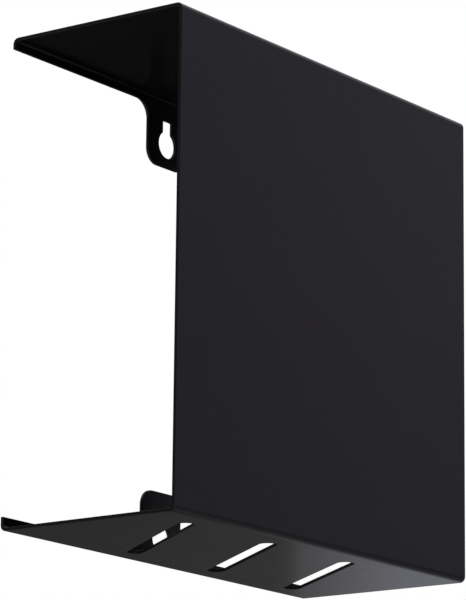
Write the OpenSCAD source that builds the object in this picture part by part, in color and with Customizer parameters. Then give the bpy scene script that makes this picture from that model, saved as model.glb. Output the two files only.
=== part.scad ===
// Wall-mounted CPU holder: one sheet of steel folded into an open channel.
// The computer stands on the bottom panel, between the side panel and the
// wall. Both ends are open, and two keyholed tabs hang the holder on screws.
//
// Frame, in millimetres: X runs from the wall (-X) to the side panel (+X),
// Y runs from the near open end (-Y) to the far open end (+Y), Z is up.
// The origin is at the middle of the underside.

/* [Overall size] */
// Outside width, from the wall to the outer face of the side panel
overall_w = 127; // [115:0.5:200]
// Depth, from one open end to the other
overall_d = 302; // [250:1:450]
// Outside height, from the underside to the top
overall_h = 300; // [160:1:500]

/* [Sheet] */
// Thickness of the bare steel sheet
sheet_t = 2; // [1.5:0.5:2.5]
// Thickness of the powder coat on each face
coat_t = 0.075; // [0.05:0.005:0.12]
// Inside radius of every fold, measured on the coat
fold_r = 1.6; // [1:0.1:2.5]

/* [Wall lips] */
// Height of the upper lip, measured down from the top
upper_lip_h = 7; // [6.5:0.1:12]
// Height of the lower lip, measured up from the underside
lower_lip_h = 8.6; // [6.5:0.1:8.6]

/* [Keyhole tabs] */
// Width of each tab
tab_w = 39.3; // [36:0.1:60]
// Reach of each tab, measured from the top or from the underside
tab_h = 46.2; // [42:0.1:60]
// Radius of the two free corners of each tab
tab_corner_r = 10; // [3:0.5:14]
// Radius of the fillets between each tab and its lip
tab_root_r = 11.5; // [3:0.5:14]

/* [Keyholes] */
// Diameter of the round hole that passes over a screw head
keyhole_d = 17.4; // [14:0.1:17.5]
// Width of the slot that hangs on the screw's shank
keyhole_slot_w = 9.3; // [6:0.1:11]
// Distance from the centre of the round hole up to the end of the slot
keyhole_slot_rise = 15.4; // [12:0.1:18]
// Radius in the two corners at the slot's end
keyhole_corner_r = 0.8; // [0.5:0.1:2]
// Centre of the upper round hole, measured down from the top
upper_keyhole_drop = 31.1; // [29:0.1:32]
// Centre of the lower round hole, measured up from the underside
lower_keyhole_rise = 17.5; // [17.5:0.1:20]

/* [Ventilation slots] */
// Number of slots in the bottom panel
vent_count = 3; // [1:1:3]
// Distance between the centres of neighbouring slots, along the depth
vent_pitch = 81; // [70:0.5:82]
// Length of each slot, from round end to round end
vent_l = 113; // [60:0.5:114]
// Width of each slot
vent_w = 10.8; // [6:0.1:14]
// Angle between a slot and the width of the holder
vent_angle = 36; // [30:1:40]

/* [Hidden] */

wall_t = sheet_t + 2 * coat_t;      // coated thickness
outer_r = fold_r + wall_t;          // outside radius of every fold
half_w = overall_w / 2;
half_d = overall_d / 2;
flat_w = overall_w - 2 * outer_r;   // flat width between two folds
flat_h = overall_h - 2 * outer_r;   // flat height between two folds
root_w = tab_w + 2 * tab_root_r;    // width of a tab with its two fillets
lip_l = (overall_d - root_w) / 2;   // length of the lip on each side of a tab
coat_colour = [0.155, 0.15, 0.17];
$fn = 96;

// A flat plate that is wall_t thick
module plate(size) {
    cube(size);
}

// A quarter of a tube along Y that joins two flat panels.
// (cx, cz) is the fold's centre, and the quarter starts at angle a.
module fold(cx, cz, a) {
    translate([cx, -half_d, cz])
        rotate([0, -a, 0])
            rotate([-90, 0, 0])
                linear_extrude(overall_d)
                    intersection() {
                        difference() {
                            circle(r = outer_r);
                            circle(r = fold_r);
                        }
                        translate([0, -outer_r - 1])
                            square([outer_r + 1, outer_r + 1]);
                    }
}

// Outline with two semicircular ends, centred on the origin
module stadium(l, w) {
    square([l - w, w], center = true);
    for (s = [-1, 1])
        translate([s * (l - w) / 2, 0])
            circle(d = w);
}

// Keyhole about the centre of its round hole, with the slot above it
module keyhole() {
    circle(d = keyhole_d);
    translate([-keyhole_slot_w / 2, 0])
        square([keyhole_slot_w, keyhole_slot_rise - keyhole_corner_r]);
    translate([-keyhole_slot_w / 2 + keyhole_corner_r, 0])
        square([keyhole_slot_w - 2 * keyhole_corner_r, keyhole_slot_rise]);
    for (s = [-1, 1])
        translate([s * (keyhole_slot_w / 2 - keyhole_corner_r),
                   keyhole_slot_rise - keyhole_corner_r])
            circle(r = keyhole_corner_r);
}

// Tab that grows up from the fold at y = 0 to y = h, with rounded free
// corners, and a fillet on each side where it leaves the lip
module tab_outline(lip, h) {
    r = tab_corner_r;
    translate([-root_w / 2, 0])
        square([root_w, lip]);
    translate([-tab_w / 2, 0])
        square([tab_w, h - r]);
    translate([-tab_w / 2 + r, 0])
        square([tab_w - 2 * r, h]);
    for (s = [-1, 1]) {
        translate([s * (tab_w / 2 - r), h - r])
            circle(r = r);
        translate([s * (tab_w / 2 + tab_root_r / 2), lip + tab_root_r / 2])
            difference() {
                square(tab_root_r, center = true);
                translate([s * tab_root_r / 2, tab_root_r / 2])
                    circle(r = tab_root_r);
            }
    }
}

// Lifts a flat outline drawn in (Y, Z) into the wall plane
module in_wall_plane() {
    translate([-half_w, 0, 0])
        rotate([90, 0, 90])
            linear_extrude(wall_t)
                children();
}

module side_panel() {
    color(coat_colour)
        translate([half_w - wall_t, -half_d, outer_r])
            plate([wall_t, overall_d, flat_h]);
}

module top_panel() {
    color(coat_colour)
        translate([-flat_w / 2, -half_d, overall_h - wall_t])
            plate([flat_w, overall_d, wall_t]);
}

module bottom_panel() {
    color(coat_colour)
        difference() {
            translate([-flat_w / 2, -half_d, 0])
                plate([flat_w, overall_d, wall_t]);
            for (i = [0 : vent_count - 1])
                translate([0, (i - (vent_count - 1) / 2) * vent_pitch, -1])
                    linear_extrude(wall_t + 2)
                        rotate(-vent_angle)
                            stadium(vent_l, vent_w);
        }
}

module upper_side_fold() {
    color(coat_colour)
        fold(flat_w / 2, overall_h - outer_r, 0);
}

module lower_side_fold() {
    color(coat_colour)
        fold(flat_w / 2, outer_r, -90);
}

module upper_wall_fold() {
    color(coat_colour)
        fold(-flat_w / 2, overall_h - outer_r, 90);
}

module lower_wall_fold() {
    color(coat_colour)
        fold(-flat_w / 2, outer_r, 180);
}

// One stretch of lip, from y0 along the depth and from z0 up
module lip(y0, z0, h) {
    color(coat_colour)
        translate([-half_w, y0, z0])
            plate([wall_t, lip_l, h]);
}

module upper_near_lip() {
    lip(-half_d, overall_h - upper_lip_h, upper_lip_h - outer_r);
}

module upper_far_lip() {
    lip(half_d - lip_l, overall_h - upper_lip_h, upper_lip_h - outer_r);
}

module lower_near_lip() {
    lip(-half_d, outer_r, lower_lip_h - outer_r);
}

module lower_far_lip() {
    lip(half_d - lip_l, outer_r, lower_lip_h - outer_r);
}

module upper_keyhole_tab() {
    color(coat_colour)
        in_wall_plane()
            difference() {
                translate([0, overall_h - outer_r])
                    mirror([0, 1])
                        tab_outline(upper_lip_h - outer_r, tab_h - outer_r);
                translate([0, overall_h - upper_keyhole_drop])
                    keyhole();
            }
}

module lower_keyhole_tab() {
    color(coat_colour)
        in_wall_plane()
            difference() {
                translate([0, outer_r])
                    tab_outline(lower_lip_h - outer_r, tab_h - outer_r);
                translate([0, lower_keyhole_rise])
                    keyhole();
            }
}

side_panel();
top_panel();
bottom_panel();
upper_side_fold();
lower_side_fold();
upper_wall_fold();
lower_wall_fold();
upper_near_lip();
upper_far_lip();
lower_near_lip();
lower_far_lip();
upper_keyhole_tab();
lower_keyhole_tab();
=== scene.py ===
import math

import bpy
import numpy as np
from mathutils import Matrix, Vector
from mathutils.geometry import tessellate_polygon

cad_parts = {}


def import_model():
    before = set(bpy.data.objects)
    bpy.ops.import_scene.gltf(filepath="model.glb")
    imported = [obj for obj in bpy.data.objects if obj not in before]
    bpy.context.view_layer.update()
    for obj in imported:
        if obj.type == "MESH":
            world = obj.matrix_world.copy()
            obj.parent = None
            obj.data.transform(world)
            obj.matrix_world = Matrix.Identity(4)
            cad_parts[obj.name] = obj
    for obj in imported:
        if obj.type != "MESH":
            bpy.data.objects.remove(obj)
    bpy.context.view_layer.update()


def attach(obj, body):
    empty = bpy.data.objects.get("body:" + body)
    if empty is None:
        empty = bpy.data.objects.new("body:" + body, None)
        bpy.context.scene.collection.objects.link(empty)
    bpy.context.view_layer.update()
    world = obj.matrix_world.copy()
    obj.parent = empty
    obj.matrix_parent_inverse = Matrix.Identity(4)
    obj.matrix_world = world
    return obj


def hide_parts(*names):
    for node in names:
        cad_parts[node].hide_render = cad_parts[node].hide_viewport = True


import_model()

# ---------------------------------------------------------------- sizes, in metres, as in the CAD
MM = 0.001
W, D, H = 127.0 * MM, 302.0 * MM, 300.0 * MM
T = 2.15 * MM                      # coated sheet
R_OUT, R_IN = 3.75 * MM, 1.6 * MM  # folds
UPPER_LIP, LOWER_LIP = 7.0 * MM, 8.6 * MM
TAB_W, TAB_H, TAB_R, TAB_ROOT = 39.3 * MM, 46.2 * MM, 10.0 * MM, 11.5 * MM
KEY_R, KEY_SLOT, KEY_RISE, KEY_CORNER = 8.7 * MM, 9.3 * MM, 15.4 * MM, 0.8 * MM
UPPER_KEY, LOWER_KEY = 31.1 * MM, 17.5 * MM
VENT_L, VENT_W, VENT_PITCH, VENT_ANGLE = 113.0 * MM, 10.8 * MM, 81.0 * MM, math.radians(-36.0)
EDGE_R = 0.32 * MM                 # the coat rounds every cut edge
EDGE_STEPS = 5
HW, HD = W / 2, D / 2
ROOT_HALF = TAB_W / 2 + TAB_ROOT      # half width of a tab with its fillets

# ---------------------------------------------------------------- camera, at the photograph's viewing angle
AZ, EL, ROLL = -0.63489, 0.23595, 0.01147
LENS = 3595.463 * 36.0 / 600.0
CAM_AT = Vector((1.268042, -1.733131, -0.356104))


def make_camera():
    fw = Vector((math.cos(EL) * math.sin(AZ), math.cos(EL) * math.cos(AZ), math.sin(EL)))
    right = fw.cross(Vector((0, 0, 1))).normalized()
    up = right.cross(fw)
    r2 = right * math.cos(ROLL) + up * math.sin(ROLL)
    u2 = -right * math.sin(ROLL) + up * math.cos(ROLL)
    data = bpy.data.cameras.new("camera")
    data.lens, data.sensor_width = LENS, 36.0
    data.clip_start, data.clip_end = 0.05, 100.0
    cam = bpy.data.objects.new("camera", data)
    bpy.context.scene.collection.objects.link(cam)
    m = Matrix((r2, u2, -fw)).transposed().to_4x4()
    m.translation = CAM_AT
    cam.matrix_world = m
    bpy.context.scene.camera = cam
    return cam


# ---------------------------------------------------------------- flat outlines
def arc(cx, cy, r, a0, a1, n):
    """Points on an arc from angle a0 to a1, both ends included."""
    return [(cx + r * math.cos(a0 + (a1 - a0) * i / n), cy + r * math.sin(a0 + (a1 - a0) * i / n)) for i in range(n + 1)]


def stadium(cx, cy, length, width, turn, n=20):
    h, r = (length - width) / 2, width / 2
    pts = arc(h, 0, r, -math.pi / 2, math.pi / 2, n) + arc(-h, 0, r, math.pi / 2, 1.5 * math.pi, n)
    c, s = math.cos(turn), math.sin(turn)
    return [(cx + x * c - y * s, cy + x * s + y * c) for x, y in pts]


def keyhole(cy, cz, up):
    """Round hole at (cy, cz) with a square-ended slot of small corner radius; up is the sign of the slot's direction in this outline."""
    h, k = KEY_SLOT / 2, KEY_CORNER
    a = math.asin(h / KEY_R)
    pts = arc(0, 0, KEY_R, math.pi / 2 + a, 2.5 * math.pi - a, 56)
    pts += arc(h - k, KEY_RISE - k, k, 0, math.pi / 2, 8) + arc(-h + k, KEY_RISE - k, k, math.pi / 2, math.pi, 8)
    return [(cy + x, cz + up * y) for x, y in pts]


def clean(loop):
    """Drops points that repeat the one before them."""
    out = [p for i, p in enumerate(loop) if math.dist(p, loop[i - 1]) > 1e-8]
    return out


def turned(loop, left=True):
    """The loop, anticlockwise if left."""
    area = sum(a[0] * b[1] - b[0] * a[1] for a, b in zip(loop, loop[1:] + loop[:1]))
    return loop if (area > 0) == left else loop[::-1]


# ---------------------------------------------------------------- mesh code
class Piece:
    """Faces with a normal for every corner, and a share of edge for every vertex."""

    def __init__(self):
        self.verts, self.edge, self.faces, self.normals = [], [], [], []

    def vert(self, p, edge):
        self.verts.append(tuple(p))
        self.edge.append(edge)
        return len(self.verts) - 1

    def face(self, ids, normals):
        self.faces.append(list(ids))
        self.normals += [tuple(Vector(n).normalized()) for n in normals]

    def build(self, name, material):
        me = bpy.data.meshes.new(name)
        me.from_pydata(self.verts, [], self.faces)
        me.polygons.foreach_set("use_smooth", [True] * len(me.polygons))
        me.update()
        me.normals_split_custom_set(self.normals)
        wear = me.attributes.new("edge_share", "FLOAT", "POINT")
        wear.data.foreach_set("value", self.edge)
        me.materials.append(material)
        ob = bpy.data.objects.new(name, me)
        bpy.context.scene.collection.objects.link(ob)
        return ob


def levels():
    """Across the sheet's thickness, from the front face to the back: (inset, height, share of the front normal, share of the side normal, edge share)."""
    out = []
    for k in range(EDGE_STEPS + 1):
        a = math.pi / 2 * k / EDGE_STEPS
        out.append((EDGE_R * (1 - math.sin(a)), T / 2 - EDGE_R * (1 - math.cos(a)), math.cos(a), math.sin(a), math.sin(a)))
    return out + [(i, -w, -c, s, e) for i, w, c, s, e in out[::-1]]


def loop_rings(loop, free, inward):
    """For a loop with one flag per edge, the corner points at each inset, and each edge's outward normal. inward is +1 for an anticlockwise outline and for a clockwise hole."""
    n = len(loop)
    pts = np.array(loop, float)
    d = np.roll(pts, -1, 0) - pts
    d /= np.linalg.norm(d, axis=1)[:, None]
    out = np.stack([d[:, 1], -d[:, 0]], 1) * inward   # points away from the metal
    prev, pout = np.roll(d, 1, 0), np.roll(out, 1, 0)
    pfree = np.roll(np.array(free, float), 1)
    nfree = np.array(free, float)

    def at(inset):
        res = np.empty_like(pts)
        for i in range(n):
            a, b = pfree[i] * inset, nfree[i] * inset
            m = np.array([pout[i], out[i]])
            det = m[0, 0] * m[1, 1] - m[0, 1] * m[1, 0]
            if abs(det) < 1e-7:
                res[i] = pts[i] - out[i] * max(a, b)
            else:
                res[i] = pts[i] - np.linalg.solve(m, np.array([a, b]))
        return res

    corner = []
    for i in range(n):
        smooth = pfree[i] and nfree[i] and float(pout[i] @ out[i]) > 0.9
        mean = (pout[i] + out[i]) / np.linalg.norm(pout[i] + out[i]) if smooth else None
        corner.append(mean)
    return at, out, corner


def flat_piece(outline, free, holes, origin, eu, ev, en):
    """A flat part of the sheet. The outline and the holes are drawn in (u, v) on the sheet's middle plane, free says which outline edges are cut edges, and the others are seams."""
    piece = Piece()
    origin, eu, ev, en = Vector(origin), Vector(eu), Vector(ev), Vector(en)
    lv = levels()

    def world(p, w):
        return origin + eu * float(p[0]) + ev * float(p[1]) + en * w

    def flat(n2):
        return eu * float(n2[0]) + ev * float(n2[1])

    fronts, backs = [], []
    for loop, flags, inward in [(outline, free, 1)] + [(h, [True] * len(h), 1) for h in holes]:
        at, out, corner = loop_rings(loop, flags, inward)
        n = len(loop)
        rings = []
        for inset, w, c, s, e in lv:
            pts = at(inset)
            rings.append([piece.vert(world(p, w), e if flags[i] or flags[i - 1] else 0.0) for i, p in enumerate(pts)])
        for k in range(len(lv) - 1):
            for i in range(n):
                j = (i + 1) % n
                ni = out[i] if corner[i] is None or not flags[i] else corner[i]
                nj = out[i] if corner[j] is None or not flags[i] else corner[j]
                (_, _, c0, s0, _), (_, _, c1, s1, _) = lv[k], lv[k + 1]
                if not flags[i]:
                    s0 = s1 = 1.0
                    c0 = c1 = 0.0
                piece.face(
                    [rings[k][i], rings[k + 1][i], rings[k + 1][j], rings[k][j]],
                    [en * c0 + flat(ni) * s0, en * c1 + flat(ni) * s1, en * c1 + flat(nj) * s1, en * c0 + flat(nj) * s0],
                )
        fronts.append(rings[0])
        backs.append(rings[-1])
    for rings, normal, flip in ((fronts, en, False), (backs, -en, True)):
        if len(rings) == 1 and len(rings[0]) == 4:
            ids = rings[0][::-1] if flip else rings[0]
            piece.face(ids, [normal] * 4)
            continue
        flat2 = [[Vector((*[(Vector(piece.verts[i]) - origin).dot(x) for x in (eu, ev)], 0.0)) for i in r] for r in rings]
        ids = [i for r in rings for i in r]
        co = [p for r in flat2 for p in r]
        for tri in tessellate_polygon(flat2):
            a, b, c = (co[k] for k in tri)
            area = (b - a).cross(c - a).z
            if abs(area) < 1e-14:
                continue
            t = list(tri) if (area > 0) != flip else list(tri)[::-1]
            piece.face([ids[k] for k in t], [normal] * 3)
    return piece


def fold_piece(cx, cz, start, stops=()):
    """A fold: the sheet's section, with its two ends rounded, swept a quarter turn round the line (cx, cz). start is the angle, from +X towards +Z, at which the quarter begins. stops are places along Y where a neighbour has a corner."""
    piece = Piece()
    ring = []  # (y, radius, normal along y, normal along radius, edge share)
    mid = (R_OUT + R_IN) / 2
    lv = levels()
    half = lv[:]
    near = [(-HD + i, mid + w, -s, c, e) for i, w, c, s, e in half]
    far = [(HD - i, mid + w, s, c, e) for i, w, c, s, e in half]
    outer = [(y, R_OUT, 0.0, 1.0, 0.0) for y in sorted(stops)]
    inner = [(y, R_IN, 0.0, -1.0, 0.0) for y in sorted(stops, reverse=True)]
    # outer face towards +Y, round the far end to the inner face, back along -Y, round the near end
    ring = outer + far + inner + near[::-1]
    n = len(ring)
    steps = 20
    rows = []
    for k in range(steps + 1):
        a = start + math.pi / 2 * k / steps
        ca, sa = math.cos(a), math.sin(a)
        rows.append([piece.vert((cx + r * ca, y, cz + r * sa), e) for y, r, ny, nr, e in ring])
    for k in range(steps):
        a0, a1 = start + math.pi / 2 * k / steps, start + math.pi / 2 * (k + 1) / steps
        for i in range(n):
            j = (i + 1) % n

            def nrm(q, a):
                return Vector((ring[q][3] * math.cos(a), ring[q][2], ring[q][3] * math.sin(a)))

            piece.face([rows[k][i], rows[k][j], rows[k + 1][j], rows[k + 1][i]], [nrm(i, a0), nrm(j, a0), nrm(j, a1), nrm(i, a1)])
    for row, a, sign in ((rows[0], start, -1), (rows[-1], start + math.pi / 2, 1)):
        normal = Vector((-math.sin(a), 0, math.cos(a))) * sign
        piece.face(row if sign > 0 else row[::-1], [normal] * n)
    return piece


# ---------------------------------------------------------------- the coat
def coat_material(name="black_powder_coat"):
    mat = bpy.data.materials.new(name)
    mat.use_nodes = True
    nt = mat.node_tree
    nt.nodes.clear()
    new = nt.nodes.new
    out = new("ShaderNodeOutputMaterial")
    bsdf = new("ShaderNodeBsdfPrincipled")
    nt.links.new(bsdf.outputs["BSDF"], out.inputs["Surface"])
    bsdf.inputs["IOR"].default_value = 1.5
    bsdf.inputs["Metallic"].default_value = 0.0
    coord = new("ShaderNodeTexCoord")

    def noise(scale, detail, rough=0.5, dist=0.0):
        n = new("ShaderNodeTexNoise")
        n.inputs["Scale"].default_value = scale
        n.inputs["Detail"].default_value = detail
        n.inputs["Roughness"].default_value = rough
        n.inputs["Distortion"].default_value = dist
        nt.links.new(coord.outputs["Object"], n.inputs["Vector"])
        return n.outputs["Fac"]

    def mapped(value, lo, hi, a=0.0, b=1.0):
        m = new("ShaderNodeMapRange")
        m.inputs["From Min"].default_value = a
        m.inputs["From Max"].default_value = b
        m.inputs["To Min"].default_value = lo
        m.inputs["To Max"].default_value = hi
        nt.links.new(value, m.inputs["Value"])
        return m.outputs["Result"]

    def maths(op, a, b):
        m = new("ShaderNodeMath")
        m.operation = op
        for i, v in enumerate((a, b)):
            if isinstance(v, (int, float)):
                m.inputs[i].default_value = v
            else:
                nt.links.new(v, m.inputs[i])
        return m.outputs[0]

    edge = new("ShaderNodeAttribute")
    edge.attribute_name = "edge_share"
    cloud = noise(14.0, 3.0)          # slow drift in the coat, some 70 mm across
    mottle = noise(95.0, 3.0, 0.55)   # uneven build of the coat, about 10 mm
    peel = noise(300.0, 2.0, 0.45)    # orange peel, about 3 mm
    grain = noise(1500.0, 2.0, 0.5)   # fine grain of the powder, under 1 mm
    # colour: near-black with a faint cast that drifts from brown to blue-violet, a little lighter where the coat is thin at an edge
    ramp = new("ShaderNodeMix")
    ramp.data_type = "RGBA"
    drift = maths("ADD", mapped(cloud, 0.0, 0.6, 0.3, 0.7), mapped(mottle, 0.0, 0.4, 0.3, 0.7))
    nt.links.new(drift, ramp.inputs[0])
    ramp.inputs[6].default_value = (0.0080, 0.0070, 0.0077, 1)
    ramp.inputs[7].default_value = (0.0090, 0.0087, 0.0116, 1)
    lift = new("ShaderNodeMix")
    lift.data_type = "RGBA"
    nt.links.new(maths("MULTIPLY", edge.outputs["Fac"], mapped(grain, 0.15, 0.5, 0.35, 0.65)), lift.inputs[0])
    nt.links.new(ramp.outputs[2], lift.inputs[6])
    lift.inputs[7].default_value = (0.018, 0.017, 0.020, 1)
    nt.links.new(lift.outputs[2], bsdf.inputs["Base Color"])
    rough = maths("ADD", mapped(cloud, 0.20, 0.23, 0.3, 0.7), mapped(grain, -0.02, 0.02, 0.3, 0.7))
    rough = maths("ADD", rough, mapped(mottle, -0.01, 0.02, 0.3, 0.7))
    rough = maths("ADD", rough, maths("MULTIPLY", edge.outputs["Fac"], 0.04))
    nt.links.new(rough, bsdf.inputs["Roughness"])
    height = maths("ADD", maths("ADD", maths("MULTIPLY", peel, 0.7), maths("MULTIPLY", mottle, 1.4)), maths("MULTIPLY", grain, 0.12))
    bump = new("ShaderNodeBump")
    bump.inputs["Strength"].default_value = 1.0
    bump.inputs["Distance"].default_value = 0.00005
    nt.links.new(height, bump.inputs["Height"])
    nt.links.new(bump.outputs["Normal"], bsdf.inputs["Normal"])
    return mat


# ---------------------------------------------------------------- the holder
def build_holder(coat):
    made = []
    mid_wall_x = -HW + T / 2
    X, Y, Z = Vector((1, 0, 0)), Vector((0, 1, 0)), Vector((0, 0, 1))

    def keep(piece, name, *nodes):
        ob = piece.build(name, coat)
        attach(ob, "root")
        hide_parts(*nodes)
        made.append(ob)

    def box_outline(u0, u1, v0, v1):
        return [(u0, v0), (u1, v0), (u1, v1), (u0, v1)]

    flat_x = HW - R_OUT
    z0, z1 = R_OUT, H - R_OUT
    # panels: u runs between the two folds, v along the depth, and the ends at v = -HD and v = HD are cut edges
    ends = [True, False, True, False]
    keep(flat_piece(box_outline(z0, z1, -HD, HD), ends, [], (HW - T / 2, 0, 0), Z, Y, -X), "side_panel_sheet", "side_panel")
    keep(flat_piece(box_outline(-flat_x, flat_x, -HD, HD), ends, [], (0, 0, H - T / 2), X, Y, Z), "top_panel_sheet", "top_panel")
    vents = [turned(clean(stadium(0, i * VENT_PITCH, VENT_L, VENT_W, VENT_ANGLE)), left=False) for i in (-1, 0, 1)]
    keep(flat_piece(box_outline(-flat_x, flat_x, -HD, HD), ends, vents, (0, 0, T / 2), X, Y, Z), "bottom_panel_sheet", "bottom_panel")
    # folds
    stops = (-ROOT_HALF, ROOT_HALF)
    keep(fold_piece(flat_x, z1, 0.0), "upper_side_fold_sheet", "upper_side_fold")
    keep(fold_piece(flat_x, z0, -math.pi / 2), "lower_side_fold_sheet", "lower_side_fold")
    keep(fold_piece(-flat_x, z1, math.pi / 2, stops), "upper_wall_fold_sheet", "upper_wall_fold")
    keep(fold_piece(-flat_x, z0, math.pi, stops), "lower_wall_fold_sheet", "lower_wall_fold")
    # lips and tabs, drawn in (y, z) with the front towards +X
    for where, base, lip, up, key in (("upper", z1, UPPER_LIP, -1, H - UPPER_KEY), ("lower", z0, LOWER_LIP, 1, LOWER_KEY)):
        tip = H - lip if up < 0 else lip
        lo, hi = min(base, tip), max(base, tip)
        for end, y0, y1 in (("near", -HD, -ROOT_HALF), ("far", ROOT_HALF, HD)):
            outline = box_outline(y0, y1, lo, hi)
            free = [up < 0, end == "far", up > 0, end == "near"]
            keep(flat_piece(outline, free, [], (mid_wall_x, 0, 0), Y, Z, X), f"{where}_{end}_lip_sheet", f"{where}_{end}_lip")
        # tab outline: root on the fold, lip height, fillet, side, rounded corner
        reach = TAB_H - (H - base if up < 0 else base)
        lip_h = abs(tip - base)
        hw, r = TAB_W / 2, TAB_R
        loop = [(-ROOT_HALF, 0.0), (ROOT_HALF, 0.0)]
        loop += arc(ROOT_HALF, lip_h + TAB_ROOT, TAB_ROOT, -math.pi / 2, -math.pi, 20)
        loop += arc(hw - r, reach - r, r, 0, math.pi / 2, 20)
        loop += arc(-hw + r, reach - r, r, math.pi / 2, math.pi, 20)
        loop += arc(-ROOT_HALF, lip_h + TAB_ROOT, TAB_ROOT, 0, -math.pi / 2, 20)
        loop = clean([(y, base + up * z) for y, z in loop])
        loop = turned(loop)
        free = []
        for a, b in zip(loop, loop[1:] + loop[:1]):
            on_root = abs(a[1] - base) < 1e-9 and abs(b[1] - base) < 1e-9
            at_lip = abs(abs(a[0]) - ROOT_HALF) < 1e-9 and abs(abs(b[0]) - ROOT_HALF) < 1e-9 and a[0] * b[0] > 0
            free.append(not (on_root or at_lip))
        hole = turned(clean(keyhole(0.0, key, 1)), left=False)
        keep(flat_piece(loop, free, [hole], (mid_wall_x, 0, 0), Y, Z, X), f"{where}_keyhole_tab_sheet", f"{where}_keyhole_tab")
    return made


# ---------------------------------------------------------------- surroundings
def studio_world():
    """White to the camera. Everything else sees a dim studio, brighter towards one soft wall."""
    world = bpy.data.worlds.new("studio")
    bpy.context.scene.world = world
    world.use_nodes = True
    nt = world.node_tree
    nt.nodes.clear()
    new, link = nt.nodes.new, nt.links.new

    def shine(color, strength=None):
        n = new("ShaderNodeBackground")
        n.inputs["Color"].default_value = (*color, 1)
        if strength is not None:
            link(strength, n.inputs["Strength"])
        return n.outputs[0]

    def lobe(direction, power, gain):
        """gain where the ray points along direction, less to the sides."""
        dot = new("ShaderNodeVectorMath")
        dot.operation = "DOT_PRODUCT"
        link(coord.outputs["Generated"], dot.inputs[0])
        dot.inputs[1].default_value = Vector(direction).normalized()
        top = new("ShaderNodeMath")
        top.operation = "MAXIMUM"
        top.inputs[1].default_value = 0.0
        link(dot.outputs["Value"], top.inputs[0])
        pw = new("ShaderNodeMath")
        pw.operation = "POWER"
        pw.inputs[1].default_value = power
        link(top.outputs[0], pw.inputs[0])
        mul = new("ShaderNodeMath")
        mul.operation = "MULTIPLY"
        mul.inputs[1].default_value = gain
        link(pw.outputs[0], mul.inputs[0])
        return mul.outputs[0]

    def add(a, b):
        n = new("ShaderNodeAddShader")
        link(a, n.inputs[0])
        link(b, n.inputs[1])
        return n.outputs[0]

    coord = new("ShaderNodeTexCoord")
    out = new("ShaderNodeOutputWorld")
    mix = new("ShaderNodeMixShader")
    path = new("ShaderNodeLightPath")
    room = None
    for color, direction, power, gain in LOBES:
        light = shine(color, lobe(direction, power, gain))
        room = light if room is None else add(room, light)
    link(path.outputs["Is Camera Ray"], mix.inputs[0])
    link(room, mix.inputs[1])
    link(shine((1, 1, 1)), mix.inputs[2])
    link(mix.outputs[0], out.inputs["Surface"])


def plain(name, color, strength_seen, strength_else):
    """A plain glowing finish, bright to the camera and dim to the coat."""
    mat = bpy.data.materials.new(name)
    mat.use_nodes = True
    nt = mat.node_tree
    nt.nodes.clear()
    out = nt.nodes.new("ShaderNodeOutputMaterial")
    mix = nt.nodes.new("ShaderNodeMixShader")
    path = nt.nodes.new("ShaderNodeLightPath")
    nt.links.new(path.outputs["Is Camera Ray"], mix.inputs[0])
    for i, v in ((1, strength_else), (2, strength_seen)):
        em = nt.nodes.new("ShaderNodeEmission")
        em.inputs["Color"].default_value = (*color, 1)
        em.inputs["Strength"].default_value = v
        nt.links.new(em.outputs[0], mix.inputs[i])
    nt.links.new(mix.outputs[0], out.inputs["Surface"])
    return mat


def quad(name, corners, material):
    me = bpy.data.meshes.new(name)
    me.from_pydata([tuple(c) for c in corners], [], [(0, 1, 2, 3)])
    me.materials.append(material)
    ob = bpy.data.objects.new(name, me)
    bpy.context.scene.collection.objects.link(ob)
    return ob


def gradient_card():
    """A softly graded card low behind the far end: the underside of the bottom panel mirrors it, and the top panel's underside doesn't."""
    fwd = Vector((math.sin(AZ), math.cos(AZ), 0))
    side = Vector((math.cos(AZ), -math.sin(AZ), 0))
    base = fwd * CARD_DIST
    lo, hi = CARD_Z
    corners = [base + side * h + Vector((0, 0, z)) for h, z in ((CARD_H[0], lo), (CARD_H[1], lo), (CARD_H[1], hi), (CARD_H[0], hi))]
    mat = bpy.data.materials.new("card")
    mat.use_nodes = True
    nt = mat.node_tree
    nt.nodes.clear()
    new, link = nt.nodes.new, nt.links.new
    out = new("ShaderNodeOutputMaterial")
    em = new("ShaderNodeEmission")
    coord = new("ShaderNodeTexCoord")
    dot = new("ShaderNodeVectorMath")
    dot.operation = "DOT_PRODUCT"
    dot.inputs[1].default_value = side
    link(coord.outputs["Object"], dot.inputs[0])
    ramp = new("ShaderNodeMapRange")
    ramp.inputs["From Min"].default_value, ramp.inputs["From Max"].default_value = CARD_H
    link(dot.outputs["Value"], ramp.inputs["Value"])
    tone = new("ShaderNodeValToRGB")
    els = tone.color_ramp.elements
    span = CARD_H[1] - CARD_H[0]
    els[0].color = (*CARD_TONES[0][1], 1)
    els[1].color = (*CARD_TONES[-1][1], 1)
    for h, c in CARD_TONES[1:-1]:
        els.new((h - CARD_H[0]) / span).color = (*c, 1)
    link(ramp.outputs["Result"], tone.inputs["Fac"])
    link(tone.outputs["Color"], em.inputs["Color"])
    apart = new("ShaderNodeSeparateXYZ")
    link(coord.outputs["Object"], apart.inputs[0])
    fade = new("ShaderNodeMapRange")
    fade.interpolation_type = "SMOOTHSTEP"
    fade.inputs["From Min"].default_value, fade.inputs["From Max"].default_value = lo, lo + CARD_FADE
    link(apart.outputs["Z"], fade.inputs["Value"])
    link(fade.outputs["Result"], em.inputs["Strength"])
    link(em.outputs[0], out.inputs["Surface"])
    ob = quad("gradient_card", corners, mat)
    ob.visible_camera = False
    ob.visible_shadow = False
    ob.visible_diffuse = False
    return ob


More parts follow.
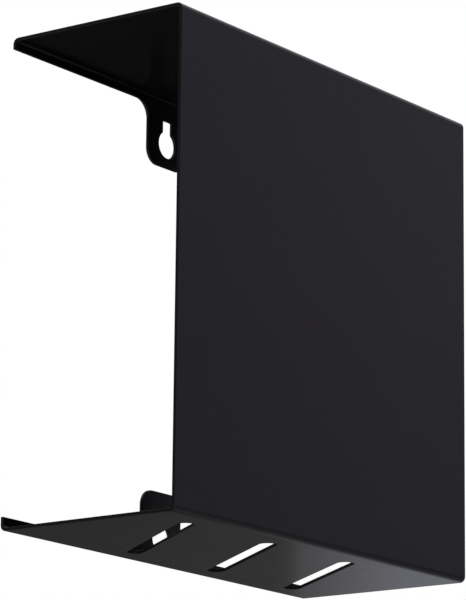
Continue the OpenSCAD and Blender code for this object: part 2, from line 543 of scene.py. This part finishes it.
def black_flag():
    """A black flag behind the far end: it keeps the low light off the inside of the upper wall fold."""
    fwd = Vector((math.sin(AZ), math.cos(AZ), 0))
    side = Vector((math.cos(AZ), -math.sin(AZ), 0))
    corners = [fwd * FLAG_DIST + side * h + Vector((0, 0, z)) for h, z in ((FLAG_H[0], FLAG_Z[0]), (FLAG_H[1], FLAG_Z[0]), (FLAG_H[1], FLAG_Z[1]), (FLAG_H[0], FLAG_Z[1]))]
    ob = quad("black_flag", corners, plain("flag_black", (1.0, 1.0, 1.0), 0.0, 0.0))
    ob.visible_camera = False
    ob.visible_shadow = False
    ob.visible_diffuse = False
    return ob


# soft studio lights: tint, direction, how tight, how bright
LOBES = [
    ((1.00, 0.98, 1.02), (0.0, 0.0, 1.0), 3.0, 0.365),         # overhead
    ((1.06, 0.92, 1.04), (0.577, 0.783, 0.234), 8.0, 0.095),   # beyond the far end, right
    ((0.97, 0.94, 1.16), (0.19, 0.86, 0.47), 12.0, 0.200),     # beyond the far end, above
    ((0.92, 0.86, 1.22), (0.35, 0.90, 0.30), 20.0, 0.050),     # the same, lower and tighter
    ((0.88, 0.86, 1.26), (0.40, 0.70, 0.60), 8.0, 0.080),      # the same, higher and to the right
    ((1.00, 1.02, 0.98), (0.0, 0.78, 0.62), 12.0, 0.220),      # beyond the far end, high
    ((1.01, 1.02, 0.97), (-0.33, 0.78, 0.53), 12.0, 0.251),    # beyond the far end, high on the wall side
    ((1.04, 1.01, 0.95), (-0.50, 0.76, 0.42), 20.0, 0.076),    # the same, lower
    ((1.00, 0.96, 1.04), (0.14, 0.78, -0.61), 12.0, 0.210),    # beyond the far end, low
    ((1.00, 0.97, 1.03), (0.69, 0.62, -0.37), 14.0, 0.110),    # beyond the far end, right, lower
    ((1.01, 1.05, 0.94), (-0.25, 0.78, -0.57), 50.0, 0.120),   # the same, a tight one on the wall side
    ((1.00, 1.00, 1.00), (-0.78, -0.50, -0.37), 12.0, 0.460),  # near end, wall side
    ((1.00, 1.01, 0.99), (0.66, -0.74, -0.10), 8.0, 0.070),     # near end, right
    ((1.01, 1.03, 0.96), (0.55, -0.68, -0.50), 10.0, 0.340),    # near end, right, low
    ((1.01, 0.99, 1.00), (1.0, -0.08, 0.05), 7.0, 0.420),      # right
    ((1.01, 0.98, 1.01), (0.88, 0.00, -0.47), 8.0, 0.400),      # right, low
    ((1.00, 1.00, 1.00), (-0.92, -0.10, -0.38), 14.0, 0.620),  # wall side
    ((1.00, 1.00, 1.00), (-0.86, 0.25, -0.45), 24.0, 0.520),   # the same, towards the far end
    ((1.00, 1.00, 1.00), (-0.85, -0.45, -0.20), 6.0, 0.070),   # wall side, towards the near end
    ((1.00, 1.00, 1.00), (-0.45, -0.35, 0.82), 6.0, 0.150),    # wall side, high
    ((1.00, 1.05, 0.95), (-0.75, -0.35, -0.55), 6.0, 0.043),   # wall side, low
    ((1.00, 1.00, 1.00), (0.0, -0.62, 0.78), 5.0, 0.220),      # near end, high
    ((1.02, 1.08, 0.90), (0.0, 0.0, -1.0), 5.0, 0.072),        # from below
]
CARD_DIST = 0.24
CARD_Z = (-0.38, 0.012)
CARD_FADE = 0.23
CARD_H = (-0.22, 0.22)
CARD_TONES = [
    (-0.22, (0.063, 0.061, 0.061)),
    (-0.08, (0.074, 0.069, 0.071)),
    (-0.01, (0.087, 0.082, 0.084)),
    (0.02, (0.090, 0.084, 0.087)),
    (0.034, (0.104, 0.107, 0.101)),
    (0.041, (0.192, 0.181, 0.190)),
    (0.05, (0.199, 0.192, 0.203)),
    (0.075, (0.266, 0.263, 0.291)),
    (0.11, (0.349, 0.356, 0.397)),
    (0.15, (0.370, 0.378, 0.411)),
    (0.22, (0.420, 0.464, 0.426)),
]


FLAG_DIST = 0.17
FLAG_H = (0.05, 0.27)
FLAG_Z = (0.005, 0.20)


def make_surroundings():
    view = bpy.context.scene.view_settings
    view.view_transform, view.look = "Standard", "None"
    studio_world()
    gradient_card()
    black_flag()
    floor = quad("floor", [(-30, -30, -2.6), (30, -30, -2.6), (30, 30, -2.6), (-30, 30, -2.6)], plain("pale_floor", (1.0, 1.0, 1.0), 1.0, 0.03))
    floor.visible_glossy = floor.visible_diffuse = floor.visible_shadow = False
    return floor


make_camera()
make_surroundings()
holder = build_holder(coat_material())
